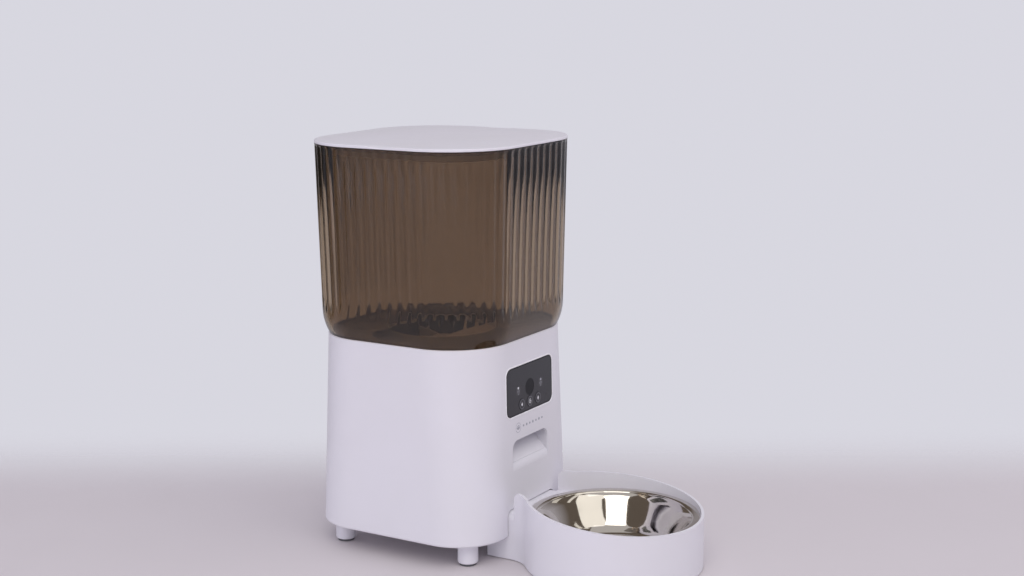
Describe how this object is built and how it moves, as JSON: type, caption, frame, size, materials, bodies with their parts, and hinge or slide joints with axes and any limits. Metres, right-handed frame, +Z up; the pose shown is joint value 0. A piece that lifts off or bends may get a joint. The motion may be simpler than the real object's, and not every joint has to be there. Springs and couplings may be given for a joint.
{
  "type": "automatic pet feeder",
  "caption": "Automatic dry-food feeder: motor base with camera panel and outlet, lift-off smoked hopper with lid, and a pull-out holder with a steel bowl.",
  "frame": {"origin": "middle of the bounding box at floor level", "axes": "+Z up, -Y to the front (panel, outlet and bowl), +X to the right seen from the front"},
  "size_m": [0.2008, 0.3492, 0.366],
  "materials": {
    "white_shell": "satin white ABS",
    "inner_white": "moulded white ABS",
    "smoked_hopper": "translucent brown, polished",
    "rubber_grey": "matt rubber",
    "silicone": "soft silicone",
    "panel_black": "gloss black",
    "button_black": "gloss black with a light ring",
    "dark_glass": "smoked glass",
    "black_plastic": "matt black",
    "light_pipe": "dark tinted light window",
    "circuit_board": "green board",
    "steel": "polished stainless steel",
    "screw_steel": "zinc-plated steel",
    "motor_can": "plated motor can",
    "gear_acetal": "natural acetal",
    "rotor_grey": "soft-touch light grey",
    "cell_wrap": "printed-free dark cell sleeve",
    "nickel": "nickel-plated spring steel",
    "paper_bag": "white non-woven"
  },
  "bodies": {
    "base": {"housing": "white_shell", "base_plate": "inner_white", "battery_1": "cell_wrap", "battery_2": "cell_wrap", "battery_3": "cell_wrap", "battery_contacts": "nickel", "main_board": "circuit_board", "board_parts": "black_plastic", "board_screws": "screw_steel", "base_screws": "screw_steel", "gearbox_screws": "screw_steel", "dc_jack": "black_plastic", "dc_jack_pin": "nickel", "speaker": "black_plastic", "deck": "inner_white", "chute": "inner_white", "portion_guard": "inner_white", "rotor_wiper": "silicone", "gear_pins": "screw_steel", "motor": "motor_can", "gearbox_base": "inner_white", "gearbox_cover": "inner_white", "control_panel": "panel_black", "tact_switches": "black_plastic", "control_board": "circuit_board", "status_lights": "light_pipe", "microphone": "motor_can", "camera_window": "dark_glass", "camera_barrel": "black_plastic", "camera_lens": "dark_glass", "throat_seal": "silicone", "front_left_foot": "white_shell", "front_left_foot_pad": "rubber_grey", "front_right_foot": "white_shell", "front_right_foot_pad": "rubber_grey", "rear_left_foot": "white_shell", "rear_left_foot_pad": "rubber_grey", "rear_right_foot": "white_shell", "rear_right_foot_pad": "rubber_grey"},
    "rotor": {"rotor": "rotor_grey", "output_gear": "gear_acetal"},
    "gear_1": {"gear_1": "gear_acetal"},
    "gear_2": {"gear_2": "gear_acetal"},
    "motor_pinion": {"motor_pinion": "nickel"},
    "hopper": {"hopper": "smoked_hopper"},
    "lid": {"lid": "white_shell", "lid_seal": "silicone", "desiccant_tray": "inner_white", "desiccant_bag": "paper_bag"},
    "desiccant_cover": {"desiccant_cover": "inner_white"},
    "bowl_holder": {"bowl_holder": "white_shell", "holder_pads": "rubber_grey"},
    "bowl": {"bowl": "steel"},
    "battery_door": {"battery_door": "inner_white"},
    "feed_button": {"feed_button": "button_black"},
    "record_button": {"record_button": "button_black"},
    "settings_button": {"settings_button": "button_black"}
  },
  "joints": [
    {"name": "hopper_lift", "type": "slide", "parent": "base", "child": "hopper", "axis": [0, 0, 1], "range_m": [0, 0.06]},
    {"name": "lid_lift", "type": "slide", "parent": "hopper", "child": "lid", "axis": [0, 0, 1], "range_m": [0, 0.06]},
    {"name": "desiccant_cover_twist", "type": "hinge", "parent": "lid", "child": "desiccant_cover", "pos_m": [0, 0.07735, 0.344], "axis": [0, 0, 1], "range_deg": [0, 25]},
    {"name": "holder_slide", "type": "slide", "parent": "base", "child": "bowl_holder", "axis": [0, -1, 0], "range_m": [0, 0.045]},
    {"name": "bowl_lift", "type": "slide", "parent": "bowl_holder", "child": "bowl", "axis": [0, 0, 1], "range_m": [0, 0.06]},
    {"name": "battery_door_drop", "type": "slide", "parent": "base", "child": "battery_door", "axis": [0, 0, -1], "range_m": [0, 0.015]},
    {"name": "rotor_spin", "type": "hinge", "parent": "base", "child": "rotor", "pos_m": [0, 0.07735, 0.16], "axis": [0, 0, 1], "continuous": true},
    {"name": "gear_2_spin", "type": "hinge", "parent": "base", "child": "gear_2", "pos_m": [0, 0.10535, 0.138], "axis": [0, 0, 1], "continuous": true},
    {"name": "gear_1_spin", "type": "hinge", "parent": "base", "child": "gear_1", "pos_m": [0.01697, 0.12232, 0.132], "axis": [0, 0, 1], "continuous": true},
    {"name": "motor_spin", "type": "hinge", "parent": "base", "child": "motor_pinion", "pos_m": [-0.00603, 0.12232, 0.13], "axis": [0, 0, 1], "continuous": true},
    {"name": "feed_button_press", "type": "slide", "parent": "base", "child": "feed_button", "axis": [0, 0.9999, -0.015], "range_m": [0, 0.0006], "stiffness_N_per_m": 1500},
    {"name": "record_button_press", "type": "slide", "parent": "base", "child": "record_button", "axis": [0, 0.9999, -0.015], "range_m": [0, 0.0006], "stiffness_N_per_m": 1500},
    {"name": "settings_button_press", "type": "slide", "parent": "base", "child": "settings_button", "axis": [0, 0.9999, -0.015], "range_m": [0, 0.0006], "stiffness_N_per_m": 1500}
  ],
  "couplings": [
    {"joint": "gear_2_spin", "follows": "rotor_spin", "ratio": -3.6667},
    {"joint": "gear_1_spin", "follows": "rotor_spin", "ratio": 11},
    {"joint": "motor_spin", "follows": "rotor_spin", "ratio": -39.6}
  ]
}
